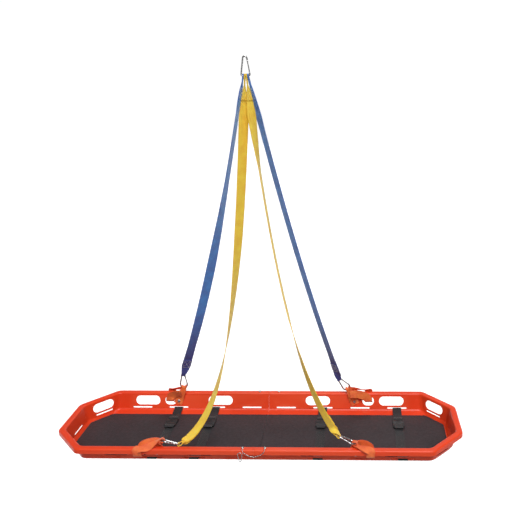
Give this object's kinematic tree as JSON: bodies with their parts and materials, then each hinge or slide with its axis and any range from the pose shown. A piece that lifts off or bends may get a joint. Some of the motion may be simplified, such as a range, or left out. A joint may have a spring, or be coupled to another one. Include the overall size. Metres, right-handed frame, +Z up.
{
  "type": "basket stretcher",
  "caption": "Two-piece plastic basket stretcher with foam mats, restraint straps and a four-leg webbing lifting sling with snap hooks.",
  "frame": {"origin": "on the ground under the middle of the basket, whose floor lies flat on it", "axes": "+X along the basket from head to feet, +Y to the far side, +Z up towards the hoist link"},
  "size_m": [2.16, 0.6569, 2.0218],
  "materials": {
    "anchor_bolt_foot_far": "satin",
    "anchor_bolt_foot_near": "satin",
    "anchor_bolt_head_far": "satin",
    "anchor_bolt_head_near": "satin",
    "ankle_buckle_female": "satin",
    "ankle_buckle_male": "satin",
    "ankle_prong_left": "satin",
    "ankle_prong_right": "satin",
    "ankle_strap_far": "woven",
    "ankle_strap_near": "woven",
    "carabiner_foot_far": "satin",
    "carabiner_foot_far_gate": "satin",
    "carabiner_foot_near": "satin",
    "carabiner_foot_near_gate": "satin",
    "carabiner_head_far": "satin",
    "carabiner_head_far_gate": "satin",
    "carabiner_head_near": "satin",
    "carabiner_head_near_gate": "satin",
    "chest_buckle_female": "satin",
    "chest_buckle_male": "satin",
    "chest_prong_left": "satin",
    "chest_prong_right": "satin",
    "chest_strap_far": "woven",
    "chest_strap_near": "woven",
    "foot_mat": "matte foam",
    "foot_shell": "satin",
    "head_mat": "matte foam",
    "head_shell": "satin",
    "hoist_link": "satin",
    "hoist_link_gate": "satin",
    "lift_strap_foot_far": "woven",
    "lift_strap_foot_near": "woven",
    "lift_strap_head_far": "woven",
    "lift_strap_head_near": "woven",
    "lock_pin_far": "satin",
    "lock_pin_near": "satin",
    "shoulder_buckle_female": "satin",
    "shoulder_buckle_male": "satin",
    "shoulder_prong_left": "satin",
    "shoulder_prong_right": "satin",
    "shoulder_strap_far": "woven",
    "shoulder_strap_near": "woven",
    "sleeve_bolt_far": "satin",
    "sleeve_bolt_near": "satin",
    "sleeve_far": "satin",
    "sleeve_near": "satin",
    "sling_leg_foot_far": "woven",
    "sling_leg_foot_near": "woven",
    "sling_leg_head_far": "woven",
    "sling_leg_head_near": "woven",
    "snap_hook": "satin",
    "snap_hook_gate": "satin",
    "tether_chain": "satin",
    "thigh_buckle_female": "satin",
    "thigh_buckle_male": "satin",
    "thigh_prong_left": "satin",
    "thigh_prong_right": "satin",
    "thigh_strap_far": "woven",
    "thigh_strap_near": "woven"
  },
  "bodies": {
    "stretcher": {"anchor_bolt_foot_far": "anchor_bolt_foot_far", "anchor_bolt_foot_near": "anchor_bolt_foot_near", "anchor_bolt_head_far": "anchor_bolt_head_far", "anchor_bolt_head_near": "anchor_bolt_head_near", "ankle_buckle_female": "ankle_buckle_female", "ankle_buckle_male": "ankle_buckle_male", "ankle_strap_far": "ankle_strap_far", "ankle_strap_near": "ankle_strap_near", "carabiner_foot_far": "carabiner_foot_far", "carabiner_foot_near": "carabiner_foot_near", "carabiner_head_far": "carabiner_head_far", "carabiner_head_near": "carabiner_head_near", "chest_buckle_female": "chest_buckle_female", "chest_buckle_male": "chest_buckle_male", "chest_strap_far": "chest_strap_far", "chest_strap_near": "chest_strap_near", "foot_mat": "foot_mat", "foot_shell": "foot_shell", "head_mat": "head_mat", "head_shell": "head_shell", "lift_strap_foot_far": "lift_strap_foot_far", "lift_strap_foot_near": "lift_strap_foot_near", "lift_strap_head_far": "lift_strap_head_far", "lift_strap_head_near": "lift_strap_head_near", "shoulder_buckle_female": "shoulder_buckle_female", "shoulder_buckle_male": "shoulder_buckle_male", "shoulder_strap_far": "shoulder_strap_far", "shoulder_strap_near": "shoulder_strap_near", "sleeve_bolt_far": "sleeve_bolt_far", "sleeve_bolt_near": "sleeve_bolt_near", "sleeve_far": "sleeve_far", "sleeve_near": "sleeve_near", "sling_leg_foot_far": "sling_leg_foot_far", "sling_leg_foot_near": "sling_leg_foot_near", "sling_leg_head_far": "sling_leg_head_far", "sling_leg_head_near": "sling_leg_head_near", "tether_chain": "tether_chain", "thigh_buckle_female": "thigh_buckle_female", "thigh_buckle_male": "thigh_buckle_male", "thigh_strap_far": "thigh_strap_far", "thigh_strap_near": "thigh_strap_near"},
    "hoist_link": {"hoist_link": "hoist_link"},
    "snap_hook": {"snap_hook": "snap_hook"},
    "carabiner_head_far_gate": {"carabiner_head_far_gate": "carabiner_head_far_gate"},
    "carabiner_foot_far_gate": {"carabiner_foot_far_gate": "carabiner_foot_far_gate"},
    "carabiner_head_near_gate": {"carabiner_head_near_gate": "carabiner_head_near_gate"},
    "carabiner_foot_near_gate": {"carabiner_foot_near_gate": "carabiner_foot_near_gate"},
    "hoist_link_gate": {"hoist_link_gate": "hoist_link_gate"},
    "snap_hook_gate": {"snap_hook_gate": "snap_hook_gate"},
    "lock_pin_far": {"lock_pin_far": "lock_pin_far"},
    "lock_pin_near": {"lock_pin_near": "lock_pin_near"},
    "shoulder_prong_left": {"shoulder_prong_left": "shoulder_prong_left"},
    "shoulder_prong_right": {"shoulder_prong_right": "shoulder_prong_right"},
    "chest_prong_left": {"chest_prong_left": "chest_prong_left"},
    "chest_prong_right": {"chest_prong_right": "chest_prong_right"},
    "thigh_prong_left": {"thigh_prong_left": "thigh_prong_left"},
    "thigh_prong_right": {"thigh_prong_right": "thigh_prong_right"},
    "ankle_prong_left": {"ankle_prong_left": "ankle_prong_left"},
    "ankle_prong_right": {"ankle_prong_right": "ankle_prong_right"}
  },
  "joints": [
    {"name": "hoist_link_swing", "type": "hinge", "parent": "stretcher", "child": "hoist_link", "pos_m": [0, 0, 1.93], "axis": [1, 0, 0], "range_deg": [-75, 75]},
    {"name": "snap_hook_swing", "type": "hinge", "parent": "stretcher", "child": "snap_hook", "pos_m": [-0.068, -0.3179, 0.105], "axis": [0, 1, 0], "range_deg": [-40, 40]},
    {"name": "carabiner_head_far_gate_hinge", "type": "hinge", "parent": "stretcher", "child": "carabiner_head_far_gate", "pos_m": [-0.48888, 0.26469, 0.21831], "axis": [-0.0069, 0.9934, 0.1146], "range_deg": [0, 25], "stiffness_Nm_per_rad": 0.12, "springref_deg": -17.19},
    {"name": "carabiner_foot_far_gate_hinge", "type": "hinge", "parent": "stretcher", "child": "carabiner_foot_far_gate", "pos_m": [0.44171, 0.26595, 0.20423], "axis": [-0.0701, 0.9907, 0.1168], "range_deg": [0, 25], "stiffness_Nm_per_rad": 0.12, "springref_deg": -17.19},
    {"name": "carabiner_head_near_gate_hinge", "type": "hinge", "parent": "stretcher", "child": "carabiner_head_near_gate", "pos_m": [-0.40608, -0.27725, 0.12808], "axis": [-0.2736, -0.3934, -0.8777], "range_deg": [0, 25], "stiffness_Nm_per_rad": 0.12, "springref_deg": -17.19},
    {"name": "carabiner_foot_near_gate_hinge", "type": "hinge", "parent": "stretcher", "child": "carabiner_foot_near_gate", "pos_m": [0.45006, -0.27765, 0.16327], "axis": [0.4377, 0.1415, 0.8879], "range_deg": [0, 25], "stiffness_Nm_per_rad": 0.12, "springref_deg": -17.19},
    {"name": "hoist_link_gate_hinge", "type": "hinge", "parent": "hoist_link", "child": "hoist_link_gate", "pos_m": [0.01223, 0, 1.99255], "axis": [0, 1, 0], "range_deg": [0, 25], "stiffness_Nm_per_rad": 0.12, "springref_deg": -17.19},
    {"name": "snap_hook_gate_hinge", "type": "hinge", "parent": "snap_hook", "child": "snap_hook_gate", "pos_m": [-0.06156, -0.3179, 0.06628], "axis": [0, -1, 0], "range_deg": [0, 25], "stiffness_Nm_per_rad": 0.02, "springref_deg": -17.19},
    {"name": "lock_pin_far_slide", "type": "slide", "parent": "stretcher", "child": "lock_pin_far", "axis": [0, 0, 1], "range_m": [0, 0.036]},
    {"name": "lock_pin_near_slide", "type": "slide", "parent": "stretcher", "child": "lock_pin_near", "axis": [0, 0, 1], "range_m": [0, 0.036]},
    {"name": "shoulder_prong_left_squeeze", "type": "slide", "parent": "stretcher", "child": "shoulder_prong_left", "axis": [1, 0, 0], "range_m": [0, 0.004], "stiffness_N_per_m": 600, "springref_m": -0.002},
    {"name": "shoulder_prong_right_squeeze", "type": "slide", "parent": "stretcher", "child": "shoulder_prong_right", "axis": [-1, 0, 0], "range_m": [0, 0.004], "stiffness_N_per_m": 600, "springref_m": -0.002},
    {"name": "chest_prong_left_squeeze", "type": "slide", "parent": "stretcher", "child": "chest_prong_left", "axis": [1, 0, 0], "range_m": [0, 0.004], "stiffness_N_per_m": 600, "springref_m": -0.002},
    {"name": "chest_prong_right_squeeze", "type": "slide", "parent": "stretcher", "child": "chest_prong_right", "axis": [-1, 0, 0], "range_m": [0, 0.004], "stiffness_N_per_m": 600, "springref_m": -0.002},
    {"name": "thigh_prong_left_squeeze", "type": "slide", "parent": "stretcher", "child": "thigh_prong_left", "axis": [1, 0, 0], "range_m": [0, 0.004], "stiffness_N_per_m": 600, "springref_m": -0.002},
    {"name": "thigh_prong_right_squeeze", "type": "slide", "parent": "stretcher", "child": "thigh_prong_right", "axis": [-1, 0, 0], "range_m": [0, 0.004], "stiffness_N_per_m": 600, "springref_m": -0.002},
    {"name": "ankle_prong_left_squeeze", "type": "slide", "parent": "stretcher", "child": "ankle_prong_left", "axis": [1, 0, 0], "range_m": [0, 0.004], "stiffness_N_per_m": 600, "springref_m": -0.002},
    {"name": "ankle_prong_right_squeeze", "type": "slide", "parent": "stretcher", "child": "ankle_prong_right", "axis": [-1, 0, 0], "range_m": [0, 0.004], "stiffness_N_per_m": 600, "springref_m": -0.002}
  ],
  "couplings": [
    {"joint": "shoulder_prong_right_squeeze", "follows": "shoulder_prong_left_squeeze", "ratio": 1},
    {"joint": "chest_prong_right_squeeze", "follows": "chest_prong_left_squeeze", "ratio": 1},
    {"joint": "thigh_prong_right_squeeze", "follows": "thigh_prong_left_squeeze", "ratio": 1},
    {"joint": "ankle_prong_right_squeeze", "follows": "ankle_prong_left_squeeze", "ratio": 1}
  ]
}
